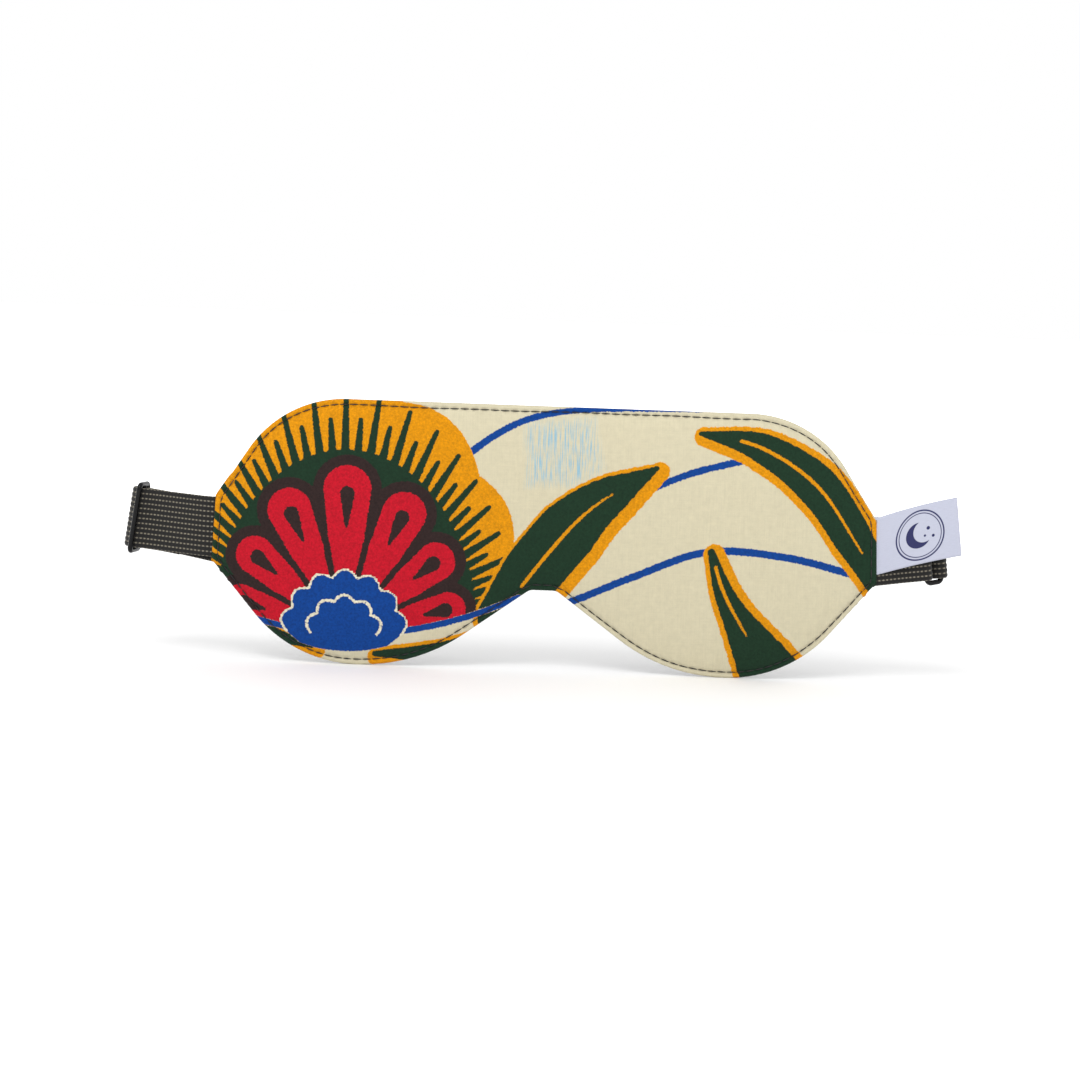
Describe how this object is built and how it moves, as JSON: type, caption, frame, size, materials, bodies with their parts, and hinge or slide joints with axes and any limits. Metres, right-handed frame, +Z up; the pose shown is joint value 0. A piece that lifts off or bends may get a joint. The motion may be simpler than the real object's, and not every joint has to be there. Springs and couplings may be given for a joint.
{
  "type": "sleep mask",
  "caption": "Two-eye padded sleep mask in printed cotton with a nose notch, a folded side label and a doubled elastic strap held by a wire slider and ring.",
  "frame": {"origin": "midway between the lowest points of the two lobes, on the surface they stand on, in the plane of the edge seam", "axes": "+X to the viewer's right along the mask, -Y out of the printed front, +Y towards the wearer's face, +Z up"},
  "size_m": [0.2783, 0.0182, 0.088],
  "materials": {
    "print_cotton": "wax-print plain-weave cotton, cream ground with a large flower and leaves",
    "lining_cotton": "plain black cotton lining",
    "wadding": "white polyester wadding",
    "black_thread": "spun black sewing thread",
    "black_elastic": "ribbed woven elastic, black with fine grey rubber lines",
    "black_wire": "gloss black lacquered wire",
    "label_satin": "white satin ribbon with a small printed navy mark"
  },
  "bodies": {
    "mask": {"front_panel": "print_cotton", "back_panel": "lining_cotton", "wadding": "wadding", "topstitch_front": "black_thread", "topstitch_back": "black_thread", "band_front_run": "black_elastic", "band_slider_fold": "black_elastic", "band_outer_run": "black_elastic", "band_inner_run": "black_elastic", "band_outer_leg": "black_elastic", "band_inner_leg": "black_elastic", "ring_tab": "black_elastic", "tab_bartack": "black_thread", "label_hem": "label_satin"},
    "sewn_end": {"band_end_loop": "black_elastic", "end_bartack": "black_thread"},
    "slider": {"slider": "black_wire"},
    "ring": {"ring": "black_wire", "band_ring_fold": "black_elastic"},
    "label": {"label": "label_satin"}
  },
  "joints": [
    {"name": "slider_travel", "type": "hinge", "parent": "mask", "child": "sewn_end", "pos_m": [-0.00247, 0.0096, 1.02866], "axis": [0, -1, 0], "range_deg": [0, 12.54], "deforming": ["band_inner_run", "band_front_run"]},
    {"name": "slider_tilt", "type": "hinge", "parent": "sewn_end", "child": "slider", "pos_m": [-0.1358, 0.0096, 0.0455], "axis": [0.1344, 0, 0.9909], "range_deg": [-14, 31]},
    {"name": "ring_swivel", "type": "hinge", "parent": "mask", "child": "ring", "pos_m": [0.1257, 0.0013, 0.04481], "axis": [-0.1344, 0, 0.9909], "range_deg": [-25, 60], "deforming": ["band_inner_leg", "band_outer_leg"]},
    {"name": "label_flip", "type": "hinge", "parent": "mask", "child": "label", "pos_m": [0.11015, -0.00175, 0.046], "axis": [0, 0, -1], "range_deg": [0, 110]}
  ]
}
